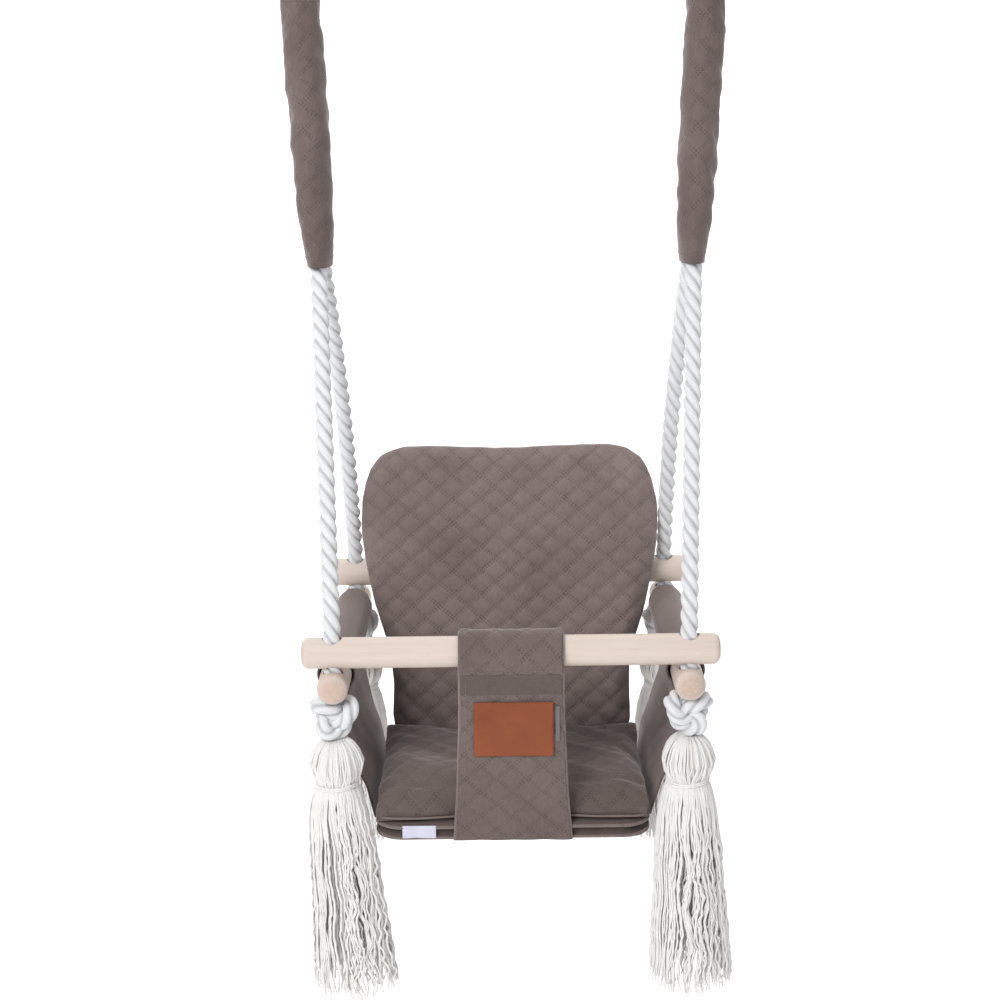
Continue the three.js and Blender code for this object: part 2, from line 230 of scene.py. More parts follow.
def catmull(points, per):
    """A centripetal curve through the points, as the frame's own ropes follow."""
    p = [np.asarray(q, float) for q in points]
    out = []
    for i, (p1, p2) in enumerate(zip(p, p[1:])):
        p0 = p[i - 1] if i else 2 * p1 - p2
        p3 = p[i + 2] if i + 2 < len(p) else 2 * p2 - p1
        t1 = max(np.linalg.norm(p1 - p0), 1e-9) ** 0.5
        t2 = t1 + max(np.linalg.norm(p2 - p1), 1e-9) ** 0.5
        t3 = t2 + max(np.linalg.norm(p3 - p2), 1e-9) ** 0.5
        for k in range(per):
            t = t1 + (t2 - t1) * k / per
            a1 = p0 * (t1 - t) / t1 + p1 * t / t1
            a2 = p1 * (t2 - t) / (t2 - t1) + p2 * (t - t1) / (t2 - t1)
            a3 = p2 * (t3 - t) / (t3 - t2) + p3 * (t - t2) / (t3 - t2)
            b1 = a1 * (t2 - t) / t2 + a2 * t / t2
            b2 = a2 * (t3 - t) / (t3 - t1) + a3 * (t - t1) / (t3 - t1)
            out.append(b1 * (t2 - t) / (t2 - t1) + b2 * (t - t1) / (t2 - t1))
    return np.array([*out, p[-1]])


def laid_rope(name, points, radius, lay, material, step=0.003, closed=False):
    """A rope of three strands laid together: one skin with three lobes that wind along it."""
    p, s = resample(points, step)
    p, frames = transport_frames(p)
    lobes = 3
    around = 8 * lobes
    strand, off = 0.56 * radius, 0.44 * radius
    verts, lays = [], []
    total = s[-1]
    turns = round(total / lay) if closed else total / lay
    for i, (t, n, b) in enumerate(frames):
        turn = -math.tau * turns * s[i] / total
        for k in range(around):
            a = math.tau * k / around
            lobe = (a + math.pi / lobes) % (math.tau / lobes) - math.pi / lobes
            r = off * math.cos(lobe) + math.sqrt(strand**2 - (off * math.sin(lobe)) ** 2)
            verts.append(p[i] + r * (math.cos(a + turn) * n + math.sin(a + turn) * b))
            lays.append((math.cos(a * lobes), math.sin(a * lobes), s[i]))
    rows = len(frames)
    faces = grid_faces(rows, around, wrap_cols=True, wrap_rows=closed)
    if not closed:
        faces += cap_faces(rows, around)
    obj = add_mesh(name, verts, faces, material)
    vector_attribute(obj, "lay", lays)
    return outward(obj), p, total


def tubes(name, lines, material, sides):
    """Many thin round tubes in one mesh. lines is a list of (points, radii)."""
    verts, faces, lays = [], [], []
    for points, radii in lines:
        p, frames = transport_frames(points)
        start = len(verts)
        length = distance_along(p)
        for i, (t, n, b) in enumerate(frames):
            for k in range(sides):
                a = math.tau * k / sides
                verts.append(p[i] + radii[i] * (math.cos(a) * n + math.sin(a) * b))
                lays.append((math.cos(a), math.sin(a), length[i]))
        rows = len(frames)
        faces += grid_faces(rows, sides, wrap_cols=True, start=start) + cap_faces(rows, sides, start)
    obj = add_mesh(name, verts, faces, material)
    vector_attribute(obj, "lay", lays)
    return outward(obj)


def stitches(name, cloth, rows):
    """Rows of thread stitches laid on a cloth piece, one row for each line of points."""
    length, gap, thread = 0.0030, 0.0017, 0.00038
    mesh = cloth.data
    tree = BVHTree.FromPolygons([v.co for v in mesh.vertices], [p.vertices for p in mesh.polygons])
    lines = []
    for row in rows:
        p, s = resample(row, 0.001)
        for start in np.arange(0.001, s[-1] - length, length + gap):
            points, radii = [], []
            for f, r in ((0, 0.4), (0.15, 0.9), (0.5, 1.0), (0.85, 0.9), (1, 0.4)):
                at = Vector([float(np.interp(start + f * length, s, p[:, i])) for i in range(3)])
                place, out, _, _ = tree.find_nearest(at)
                points.append(place + out * thread * (1.2 * r - 0.5))
                radii.append(thread * r)
            lines.append((points, radii))
    obj = tubes(name, lines, thread_cloth, 5)
    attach(obj, "seat")


def noise_at(points):
    return np.array([noise.noise(Vector(p)) for p in points])


def ripple(co, scale, amount, seed, stretch=(1, 1, 1)):
    """Smooth noise at each point, from -amount to amount."""
    return noise_at(co * (np.asarray(stretch) * scale) + seed) * amount


def ease(value, low, high):
    """0 up to low, 1 from high on, straight between them."""
    return np.clip((value - low) / (high - low), 0, 1)


def pipe_faces(rows, around):
    """Faces of a hollow pipe: outer rings first, then as many inner rings, joined at both ends."""
    n, top = rows * around, (rows - 1) * around
    faces = grid_faces(rows, around, wrap_cols=True)
    faces += [tuple(reversed(q)) for q in grid_faces(rows, around, wrap_cols=True, start=n)]
    for k in range(around):
        d = (k + 1) % around
        faces.append((k, n + k, n + d, d))
        faces.append((top + k, top + d, n + top + d, n + top + k))
    return faces


def soft_pad(name, node, material, fit, rounds):
    """The frame's plain solid as a stuffed pad: remeshed, blown up as cloth, then smoothed.
    fit gives the axes along which it ends as long as the plain solid."""
    frames, most_swell = 20, 0.006
    obj = new_object(name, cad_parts[node].data.copy())
    obj.data.name = name
    obj.data.materials.clear()
    obj.data.materials.append(material)
    modify(obj, "REMESH", mode="VOXEL", voxel_size=0.005)
    apply_modifiers(obj)
    start = coords(obj) - normals(obj) * 0.001
    set_coords(obj, start)
    cloth = modify(obj, "CLOTH")
    set_all(
        cloth.settings, quality=4, mass=0.3, tension_stiffness=12, compression_stiffness=12,
        shear_stiffness=4, bending_stiffness=0.4, use_pressure=True, uniform_pressure_force=3,
    )
    cloth.settings.effector_weights.gravity = 0
    cloth.collision_settings.use_collision = False
    cloth.point_cache.frame_start = 1
    cloth.point_cache.frame_end = frames
    scene = bpy.context.scene
    for f in range(1, frames + 1):
        scene.frame_set(f)
    apply_modifiers(obj)
    scene.frame_set(1)
    moved = coords(obj) - start
    far = np.linalg.norm(moved, axis=1)
    keep = np.minimum(1, most_swell / np.maximum(far, 1e-9))
    set_coords(obj, start + moved * keep[:, None])
    modify(obj, "SMOOTH", factor=0.5, iterations=rounds)
    modify(obj, "SUBSURF", levels=1, render_levels=1)
    apply_modifiers(obj)
    shade_smooth(obj)
    co = coords(obj)
    low, high = (np.array(c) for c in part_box(node))
    for axis in fit:
        now_low, now_high = co[:, axis].min(), co[:, axis].max()
        scale = (high[axis] - low[axis] - 0.001) / (now_high - now_low)
        co[:, axis] = (low[axis] + high[axis]) / 2 + (co[:, axis] - (now_low + now_high) / 2) * scale
    set_coords(obj, co)
    return obj


# ---- helpers: materials ----
class Nodes:
    def __init__(self, name, colour, rough, **sockets):
        self.material = bpy.data.materials.new(name)
        self.material.use_nodes = True
        self.tree = self.material.node_tree
        self.shader = self.tree.nodes["Principled BSDF"]
        self.shader.inputs["Base Color"].default_value = (*colour, 1)
        self.shader.inputs["Roughness"].default_value = rough
        for key, value in sockets.items():
            self.shader.inputs[key.replace("_", " ")].default_value = value

    def add(self, kind, inputs=(), out=0, **props):
        made = set_all(self.tree.nodes.new(kind), **props)
        for key, value in dict(inputs).items():
            if isinstance(value, bpy.types.NodeSocket):
                self.tree.links.new(value, made.inputs[key])
            else:
                made.inputs[key].default_value = value
        return made.outputs[out]

    def math(self, op, a, b=0.0):
        return self.add("ShaderNodeMath", {0: a, 1: b}, operation=op)

    def times(self, a, b):
        return self.math("MULTIPLY", a, b)

    def weigh(self, a, share, b):
        """A share of a and the rest of b."""
        return self.math("ADD", self.times(a, share), self.times(b, 1 - share))

    def place(self, scale=(1, 1, 1), source=None):
        if source is None:
            source = self.add("ShaderNodeTexCoord", out="Object")
        return self.add("ShaderNodeMapping", {"Vector": source, "Scale": scale})

    def attribute(self, name):
        return self.add("ShaderNodeAttribute", out="Vector", attribute_name=name)

    def noise(self, vector, scale, detail=3.0, rough=0.5):
        ins = {"Vector": vector, "Scale": scale, "Detail": detail, "Roughness": rough}
        return self.add("ShaderNodeTexNoise", ins, out="Fac")

    def ramp(self, value, low, high, to_low=0.0, to_high=1.0):
        ins = {"Value": value, 1: low, 2: high, 3: to_low, 4: to_high}
        return self.add("ShaderNodeMapRange", ins, out="Result", clamp=True)

    def mix(self, factor, a, b):
        a = (*a, 1) if isinstance(a, tuple) and len(a) == 3 else a
        b = (*b, 1) if isinstance(b, tuple) and len(b) == 3 else b
        ins = {"Factor": factor, 6: a, 7: b}
        return self.add("ShaderNodeMix", ins, out=2, data_type="RGBA")

    def bump(self, height, strength, distance, before=None):
        ins = {"Height": height, "Strength": strength, "Distance": distance}
        if before is not None:
            ins["Normal"] = before
        return self.add("ShaderNodeBump", ins, out="Normal")

    def finish(self, colour=None, normal=None, rough=None):
        for key, value in (("Base Color", colour), ("Normal", normal), ("Roughness", rough)):
            if value is not None:
                self.tree.links.new(value, self.shader.inputs[key])
        return self.material


def cloth_material(name, quilted=False, lit=CLOTH_LIT, dim=CLOTH_DIM, sheen=0.5):
    """Short-napped cloth. Quilted cloth reads its lengths in metres from the "cloth" attribute,
    whose Z is 1 where the cloth is plain, and gets two rows of stitch holes along each sewn line."""
    m = Nodes(name, lit, 0.85, Sheen_Weight=sheen, Sheen_Roughness=0.42, Specular_IOR_Level=0.2)
    m.shader.inputs["Sheen Tint"].default_value = (0.9, 0.82, 0.8, 1)
    here = m.place()
    broad = m.noise(here, 14, 4)
    nap = m.noise(m.place((1, 1, 0.35)), 420, 3, 0.6)
    weave = m.noise(m.place((1, 1, 2.4)), 1500, 2)
    tone = m.weigh(broad, 0.6, nap)
    colour = m.mix(m.ramp(tone, 0.32, 0.68), dim, lit)
    fine = m.weigh(nap, 0.6, weave)
    normal = m.bump(fine, 0.35, 0.0006)
    if quilted:
        separate = m.add("ShaderNodeSeparateXYZ", {0: m.attribute("cloth")}, out="X").node
        u, v, plain = (separate.outputs[axis] for axis in "XYZ")
        norm = math.hypot(DIAMOND_W, DIAMOND_H)
        across = DIAMOND_W * DIAMOND_H / norm
        dots = None
        for sign in (1, -1):
            line = m.math("ADD", m.math("DIVIDE", u, DIAMOND_W), m.times(v, sign / DIAMOND_H))
            off = m.math("SUBTRACT", line, m.math("ROUND", line))
            off = m.math("ABSOLUTE", m.times(off, across))
            row = m.math("SUBTRACT", off, STITCH_ROW)
            along = m.math("ADD", m.times(u, DIAMOND_W / norm), m.times(v, -sign * DIAMOND_H / norm))
            step = m.times(along, 1 / STITCH_STEP)
            bead = m.times(m.math("SUBTRACT", step, m.math("ROUND", step)), STITCH_STEP)
            square = m.math("ADD", m.times(row, row), m.times(bead, bead))
            far = m.math("SQRT", square)
            hole = m.ramp(far, 0.0004, 0.00085, 1, 0)
            dots = hole if dots is None else m.math("MAXIMUM", dots, hole)
        # painted shade: each stitch hole is darkened, as the shade in it, besides its bump; random noise
        # fades the holes unevenly
        patchy_holes = m.ramp(m.noise(here, 60, 2), 0.35, 0.6, 0.35, 1.0)
        dots = m.times(m.times(dots, patchy_holes), m.math("SUBTRACT", 1.0, plain))
        # painted shade: where Z is 1, the plain band sunk between the strap's hem and its lower layer is
        # darkened
        colour = m.mix(m.times(plain, 0.34), colour, (0.045, 0.033, 0.030))
        # painted shade in the stitch holes
        colour = m.mix(m.times(dots, 0.55), colour, (0.030, 0.022, 0.020))
        normal = m.bump(m.math("SUBTRACT", 1.0, dots), 0.6, 0.0012, normal)
    return m.finish(colour, normal)


def wood_material(name, along):
    """Pale beech with its grain along one axis: 0 for X, 1 for Y."""

    def stretched(across, lengthwise):
        return m.place(tuple(lengthwise if axis == along else across for axis in range(3)))

    m = Nodes(name, (0.72, 0.6, 0.5), 0.5, Specular_IOR_Level=0.22)
    grain = m.noise(stretched(170, 7), 1.0, 5, 0.62)
    band = m.noise(stretched(26, 2.2), 1.0, 3)
    fleck = m.ramp(m.noise(stretched(900, 70), 1.0, 2), 0.62, 0.74)
    tone = m.weigh(grain, 0.55, band)
    colour = m.mix(m.ramp(tone, 0.33, 0.68), (0.655, 0.570, 0.515), (0.585, 0.482, 0.422))
    colour = m.mix(m.times(fleck, 0.28), colour, (0.46, 0.34, 0.26))
    normal = m.add("ShaderNodeTexCoord", out="Normal")
    facing = m.add("ShaderNodeSeparateXYZ", {0: normal}, out="XYZ"[along])
    end = m.ramp(m.math("ABSOLUTE", facing), 0.55, 0.95, 0.0, 0.75)
    rings = m.noise(m.place(), 420, 2)
    end_grain = m.mix(m.ramp(rings, 0.3, 0.7), (0.53, 0.40, 0.33), (0.46, 0.33, 0.265))
    colour = m.mix(end, colour, end_grain)
    normal = m.bump(grain, 0.12, 0.0004)
    return m.finish(colour, normal, m.ramp(grain, 0.3, 0.7, 0.46, 0.60))


def rope_material(name, lit=(0.77, 0.78, 0.80), dim=(0.57, 0.57, 0.59), shaded_grooves=False):
    """Cotton along the "lay" attribute: around in X and Y, and metres along in Z."""
    m = Nodes(name, lit, 0.9, Sheen_Weight=0.3, Sheen_Roughness=0.5, Specular_IOR_Level=0.2)
    lay = m.attribute("lay")
    yarn = m.noise(m.place((3.2, 3.2, 70), lay), 1.0, 3, 0.6)
    fuzz = m.noise(m.place(), 900, 3, 0.7)
    tone = m.weigh(yarn, 0.65, fuzz)
    colour = m.mix(m.ramp(tone, 0.3, 0.62), dim, lit)
    if shaded_grooves:
        # painted shade: the valleys between the three strands are mixed toward dark grey
        crest = m.add("ShaderNodeSeparateXYZ", {0: lay}, out="X")
        colour = m.mix(m.ramp(crest, -1.0, -0.3, 0.40, 0.0), colour, (0.20, 0.20, 0.215))
    normal = m.bump(yarn, 0.55, 0.0011)
    normal = m.bump(fuzz, 0.3, 0.0004, normal)
    return m.finish(colour, normal)


def leather_material(name):
    m = Nodes(name, (0.30, 0.085, 0.035), 0.6, Specular_IOR_Level=0.25)
    here = m.place()
    broad = m.noise(here, 30, 4)
    pores = m.add("ShaderNodeTexVoronoi", {"Vector": here, "Scale": 900}, out="Distance")
    colour = m.mix(m.ramp(broad, 0.3, 0.7), (0.195, 0.049, 0.019), (0.255, 0.071, 0.029))
    normal = m.bump(pores, 0.25, 0.0004)
    return m.finish(colour, normal, m.ramp(broad, 0.3, 0.7, 0.48, 0.66))


def label_material(name, colour):
    m = Nodes(name, colour, 0.7, Specular_IOR_Level=0.3)
    weave = m.add("ShaderNodeTexChecker", {"Vector": m.place(), "Scale": 1900}, out="Fac")
    cloudy = m.noise(m.place(), 80, 2)
    shade = tuple(c * 0.86 for c in colour)
    tone = m.weigh(weave, 0.3, cloudy)
    return m.finish(m.mix(m.ramp(tone, 0.2, 0.8), shade, colour), m.bump(weave, 0.3, 0.0003))


def steel_material(name):
    m = Nodes(name, (0.42, 0.42, 0.43), 0.3, Metallic=1.0)
    grain = m.noise(m.place(), 700, 3)
    smear = m.noise(m.place(), 40, 3)
    colour = m.mix(m.ramp(smear, 0.3, 0.7), (0.46, 0.46, 0.47), (0.34, 0.34, 0.36))
    return m.finish(colour, m.bump(grain, 0.08, 0.0002), m.ramp(smear, 0.3, 0.7, 0.22, 0.4))


# painted shade: the same taupe velvet, made darker for the rear tunnel and the base, which sit in shade
plain_cloth = cloth_material("taupe_velvet", lit=(0.132, 0.101, 0.094), dim=(0.092, 0.069, 0.064))
# painted light: the same taupe velvet, made lighter on the side panels for the light on their casings
side_cloth = cloth_material(
    "taupe_side", lit=(0.178, 0.138, 0.128), dim=(0.122, 0.092, 0.085), sheen=0.35
)
quilt_cloth = cloth_material("taupe_quilt", quilted=True)
# painted shade: the same taupe velvet, made darker on the seat pad for the shade cast by the back
# cushion and side panels
seat_cloth = cloth_material(
    "taupe_seat", quilted=True, lit=(0.142, 0.109, 0.101), dim=(0.098, 0.074, 0.068)
)
# painted light: the same taupe velvet, made about 1.4 times lighter on the back cushion for the light
# falling on its upturned face
back_cloth = cloth_material(
    "taupe_back", quilted=True, lit=(0.232, 0.182, 0.170), dim=(0.162, 0.124, 0.116)
)
piping_cloth = cloth_material("taupe_piping", lit=(0.215, 0.172, 0.160), dim=(0.150, 0.118, 0.108))
thread_cloth = cloth_material(
    "sewing_thread", lit=(0.235, 0.190, 0.178), dim=(0.165, 0.130, 0.120), sheen=0.2
)
wood_x = wood_material("beech_across", 0)
wood_y = wood_material("beech_along", 1)
cotton = rope_material("cotton_rope", shaded_grooves=True)
yarn_cotton = rope_material("cotton_yarn", lit=(0.88, 0.87, 0.86), dim=(0.70, 0.68, 0.66))
tassel_shade = rope_material("tassel_inside", lit=(0.80, 0.77, 0.74), dim=(0.62, 0.58, 0.55))
leather = leather_material("cognac_leather")
steel = steel_material("ring_steel")


# ---- ropes ----
FLARE_Z = BAR_Z + 0.020  # the two legs of a rope lean together above this height
JOIN_Z = BAR_Z + 0.379  # and run side by side above this one, LEG_Y from the middle
LEG_Y = 0.0088
EYE_R, EYE_TOP = 0.030, 0.0140  # the bend over the ring
REAR_BOW = 0.0045  # the rear leg is slack and bows inward


def rope_x(z):
    return HOLE_X if z < FLARE_Z else HOLE_X + (RING_X - HOLE_X) * (z - FLARE_Z) / -FLARE_Z


def rope_route(s):
    """Up from the front knot, over the ring and down to the rear knot."""

    def leg(y, sign):
        rise = JOIN_Z - FLARE_Z
        part = [(y + (sign * LEG_Y - y) * f, FLARE_Z + rise * f) for f in (0.25, 0.5, 0.75, 0.96)]
        return [
            (y, KNOT_TOP + 0.0004),
            (y, BAR_Z - BAR_R),
            (y, FLARE_Z),
            *part,
            (sign * LEG_Y, JOIN_Z + 0.020),
            (sign * LEG_Y, JOIN_Z + 0.100),
            (sign * LEG_Y, -0.160),
            (sign * (LEG_Y + 0.0003), -0.112),
            (sign * (LEG_Y + 0.009), -0.072),
            (sign * (EYE_R - 0.003), EYE_TOP - EYE_R - 0.022),
        ]

    bend = []
    for a in np.linspace(0, math.pi, 9):
        bend.append((-EYE_R * math.cos(a), EYE_TOP - EYE_R + EYE_R * math.sin(a)))
    route = leg(FRONT_Y, -1) + bend + leg(REAR_Y, 1)[::-1]
    points = []
    for y, z in route:
        slack = math.sin(math.pi * min(1.0, max(0.0, (z - FLARE_Z) / (JOIN_Z - FLARE_Z))))
        inward = REAR_BOW * slack if y > LEG_Y + 0.001 else 0.0
        points.append((s * (rope_x(z) - inward), y, z))
    return points


for side, s in SIDES:
    line = catmull(rope_route(s), 14)
    rope, path, length = laid_rope(f"{side}_laid_rope", line, ROPE_R, ROPE_LAY, cotton)
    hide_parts(f"{side}_rope")
    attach(rope, "seat")


# ---- wooden bars ----
def dowel(name, node, axis, round_by, material):
    """A bar along one axis with rounded ends and a hole bored for each rope."""
    low, high = (Vector(c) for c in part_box(node))
    mid, half = (low + high) / 2, (high[axis] - low[axis]) / 2
    end = [(0.0, half)]
    for i in range(9):
        a = i / 8 * math.pi / 2
        end.append((BAR_R - round_by + round_by * math.sin(a), half - round_by + round_by * math.cos(a)))
    shaft = [(BAR_R, half * f) for f in np.linspace(-0.9, 0.9, 13)]
    profile = [(r, -h) for r, h in end] + shaft + end[::-1]
    around = 64
    verts = []
    for r, h in profile:
        for k in range(around):
            a = math.tau * k / around
            spot = (h, r * math.cos(a), r * math.sin(a))
            verts.append(spot if axis == 0 else (spot[1], h, spot[2]))
    faces = grid_faces(len(profile), around, wrap_cols=True)
    obj = outward(add_mesh(name, [Vector(v) + mid for v in verts], faces, material), merge=True)
    if axis == 0:
        holes = [(-HOLE_X, mid.y), (HOLE_X, mid.y)]
    else:
        holes = [(mid.x, FRONT_Y), (mid.x, REAR_Y)]
    cutters = []
    for x, y in holes:
        bm = bmesh.new()
        bmesh.ops.create_cone(
            bm, cap_ends=True, segments=40, radius1=ROPE_HOLE_R, radius2=ROPE_HOLE_R, depth=0.05
        )
        cutter = add_mesh(f"{name}_cutter", [], [], material)
        bm.to_mesh(cutter.data)
        bm.free()
        cutter.location = (x, y, mid.z)
        modify(obj, "BOOLEAN", operation="DIFFERENCE", solver="EXACT", object=cutter)
        cutters.append(cutter)
    bpy.context.view_layer.update()
    apply_modifiers(obj)
    for cutter in cutters:
        bpy.data.objects.remove(cutter)
    shade_smooth(obj)
    obj.data.set_sharp_from_angle(angle=math.radians(50))
    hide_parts(node)
    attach(obj, "seat")


dowel("front_dowel", "front_bar", 0, 0.007, wood_x)
dowel("rear_dowel", "rear_bar", 0, 0.007, wood_x)
for side, s in SIDES:
    dowel(f"{side}_side_dowel", f"{side}_side_bar", 1, 0.010, wood_y)

# ---- hanging rings, with a slight swelling at the weld ----
WIRE_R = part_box("left_ring")[1][1]
RING_R = (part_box("left_ring")[1][2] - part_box("left_ring")[0][2]) / 2 - WIRE_R
for side, s in SIDES:
    cx, _, cz = centre(f"{side}_ring")
    rows, around = 72, 16
    verts = []
    for i in range(rows):
        a = math.tau * i / rows
        wire = WIRE_R + 0.0005 * math.exp(-((i - 18) / 1.6) ** 2)
        for k in range(around):
            b = math.tau * k / around
            r = RING_R + wire * math.cos(b)
            verts.append((cx + r * math.cos(a), wire * math.sin(b), cz + r * math.sin(a)))
    ring = outward(add_mesh(f"{side}_steel_ring", verts, grid_faces(rows, around, True, True), steel))
    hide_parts(f"{side}_ring")
    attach(ring, "hangers")


# ---- knots, tassels and ties ----
def knot_line(cx, cy, hand):
    """An overhand knot seen from the front: two lobes up beside the bar, one low in front."""
    middle = (KNOT_TOP + KNOT_LOW) / 2 + 0.0022
    points = []
    for a in np.arange(160) * math.tau / 160:
        x = 0.0060 * (math.sin(a) + 2 * math.sin(2 * a))
        z = 0.0047 * (math.cos(a) - 2 * math.cos(2 * a))
        low = max(0.0, -z / 0.014)
        x *= 1 + 0.55 * low
        z += 0.0068 * (x / 0.017) ** 2 * (1 - min(1.0, low))
        points.append((cx + x * hand, cy - 0.0072 * math.sin(3 * a) - 0.004 * low, middle + z))
    return points


# the tassel's radius at each height, from the knot down over the bulb, the tie and the skirt
TASSEL_PROFILE = (
    (0.0100, TASSEL_TOP + 0.002),
    (0.0210, TASSEL_TOP - 0.007),
    (0.0268, TASSEL_TOP - 0.022),
    (0.0245, TIE_Z + 0.011),
    (0.0190, TIE_Z + 0.001),
    (0.0245, TIE_Z - 0.010),
    (0.0290, TIE_Z - 0.030),
    (0.0325, TIE_Z - 0.065),
    (0.0350, TIE_Z - 0.110),
    (0.0385, TIE_Z - 0.160),
    (0.0430, TASSEL_LOW),
)
OUTER_YARNS, INNER_YARNS, LOCKS = 140, 84, 19
TIE_R, TIE_TURNS = 0.0206, 2.6
WAVE = 6.28  # radians in one wave of a yarn


def tassel_r(z):
    radii, heights = zip(*reversed(TASSEL_PROFILE))
    return float(np.interp(z, heights, radii))


def random_wave(rng, least, most, shortest, longest):
    """A sine's height, length and phase."""
    return rng.uniform(least, most), rng.uniform(shortest, longest), rng.uniform(0, WAVE)


def wave_at(wave, z):
    height, length, phase = wave
    return height * math.sin(WAVE * z / length + phase)


def yarns(rng, cx, cy, low_z, lean):
    """Loose yarns from the knot over the bulb and down the skirt, gathered into wavy locks."""
    locks = []
    for c in range(LOCKS):
        turn = math.tau * (c + rng.uniform(-0.3, 0.3)) / LOCKS
        wave = random_wave(rng, 0.0010, 0.0028, 0.050, 0.090)
        locks.append((turn, wave, rng.uniform(-0.0038, 0.0030)))
    lines = []
    for i in range(OUTER_YARNS + INNER_YARNS):
        hidden = i >= OUTER_YARNS
        angle = math.tau * (i + rng.uniform(-0.4, 0.4)) / (INNER_YARNS if hidden else OUTER_YARNS)
        lock = min(locks, key=lambda one: abs(math.remainder(angle - one[0], math.tau)))
        lock_turn, lock_wave, lock_out = lock
        off = math.remainder(angle - lock_turn, math.tau)
        depth = rng.uniform(0.62, 0.90) if hidden else rng.uniform(0.92, 1.03)
        low = low_z + 0.006 + abs(rng.gauss(0, 0.013))
        thick = rng.uniform(0.0009, 0.0014)
        swell = rng.uniform(-0.0011, 0.0006)
        own = [random_wave(rng, 0.0003, 0.0011, 0.012, 0.030) for _ in range(2)]
        drift, slant = rng.uniform(-0.13, 0.13), rng.gauss(0, 0.16)
        points, radii = [], []
        for f in np.linspace(0, 1, 44):
            z = TASSEL_TOP + 0.001 + (low - TASSEL_TOP - 0.001) * f
            below = max(0.0, min(1.0, (TIE_Z - 0.004 - z) / 0.07))
            above = max(0.0, min(1.0, (z - TIE_Z) / 0.02))
            if z > TIE_Z:
                share = 0.80 if hidden else depth
            else:
                share = depth + (1 - depth) * (1 - below) * 0.6
            fuzz = sum(wave_at(wave, z) for wave in own) * (0.25 + 0.75 * below)
            r = tassel_r(z) * share - thick + swell * above + (0.8 * fuzz + lock_out * 0.7) * below
            turn = lock_turn + off * (1 - 0.10 * below) + drift * below + slant * above
            turn += (wave_at(lock_wave, TIE_Z - z) * below + fuzz) / max(r, 0.012)
            shift = lean * below * max(0.0, (TIE_Z - z) / 0.2)
            points.append((cx + shift + r * math.cos(turn), cy + r * math.sin(turn), z))
            radii.append(thick * (1 - 0.45 * max(0.0, f - 0.93) / 0.07))
        lines.append((points, radii))
    return lines


def core(name, cx, cy, low_z, rng):
    """The ridged heart of a tassel, which closes the gaps between its yarns."""
    rows, around = 60, 72
    phase = [rng.uniform(0, WAVE) for _ in range(3)]
    verts, lays = [], []
    for i in range(rows):
        f = i / (rows - 1)
        z = TASSEL_TOP + 0.001 + (low_z + 0.045 - TASSEL_TOP) * f
        share = np.interp(z - TIE_Z, [-0.12, -0.02, 0.0, 0.01], [0.50, 0.62, 0.82, 0.87])
        for k in range(around):
            a = math.tau * k / around
            ridge = 0.35 * math.sin(11 * a + phase[0] + 9 * f)
            ridge += 0.40 * math.sin(19 * a + phase[1] - 5 * f)
            ridge += 0.25 * math.sin(31 * a + phase[2] + 14 * f)
            r = tassel_r(z) * float(share) * (1 + 0.035 * ridge)
            verts.append((cx + r * math.cos(a), cy + r * math.sin(a), z))
            lays.append((4 * math.cos(a), 4 * math.sin(a), f * 0.2))
    top = len(verts)
    verts += [(cx, cy, TASSEL_TOP + 0.002), (cx, cy, low_z + 0.040)]
    lays += [(0, 0, 0), (0, 0, 0)]
    faces = grid_faces(rows, around, wrap_cols=True)
    last = (rows - 1) * around
    for k in range(around):
        faces += [(top, (k + 1) % around, k), (top + 1, last + k, last + (k + 1) % around)]
    obj = add_mesh(name, verts, faces, tassel_shade)
    vector_attribute(obj, "lay", lays)
    return outward(obj)


def joined(name, objs):
    with bpy.context.temp_override(active_object=objs[0], selected_editable_objects=objs):
        bpy.ops.object.join()
    objs[0].name = objs[0].data.name = name
    return objs[0]


for side, s in SIDES:
    for end, y in (("front", FRONT_Y), ("rear", REAR_Y)):
        which = f"{side}_{end}"
        cx = s * HOLE_X
        rng = random.Random(f"{which} yarns")
        loop, _, _ = laid_rope(
            f"{which}_loop", knot_line(cx, y, -s), 0.0086, 0.050, cotton, 0.0026, closed=True
        )
        ends = [(cx, y + 0.003, KNOT_TOP - 0.0006), (cx, y + 0.001, TASSEL_TOP - 0.008)]
        through, _, _ = laid_rope(
            f"{which}_through", resample(ends, 0.003)[0], ROPE_R, ROPE_LAY, cotton
        )
        knot = joined(f"{which}_rope_knot", [loop, through])
        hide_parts(f"{which}_knot")
        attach(knot, "seat")
        body = f"{which}_tassel"
        lean = {"left_front": 0.013, "right_front": 0.006}.get(which, 0.0)
        low_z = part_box(f"{which}_tassel")[0][2]
        skirt = tubes(f"{which}_yarns", yarns(rng, cx, y, low_z, lean), yarn_cotton, 5)
        heart = core(f"{which}_tassel_core", cx, y, low_z, rng)
        for piece in (skirt, heart):
            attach(piece, body)
        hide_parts(f"{which}_tassel")
        wound = []
        for f in np.linspace(0, 1, 150):
            a = math.tau * TIE_TURNS * f
            tilt = 0.0024 * math.cos(a - 0.4) * math.sin(math.pi * f)
            z = TIE_Z + 0.003 - 0.005 * f + tilt
            wound.append((cx + TIE_R * math.cos(a), y + TIE_R * math.sin(a), z))
        tie = tubes(f"{which}_wound_tie", [(wound, [0.0011] * len(wound))], yarn_cotton, 8)
        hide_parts(f"{which}_tie")
        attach(tie, body)


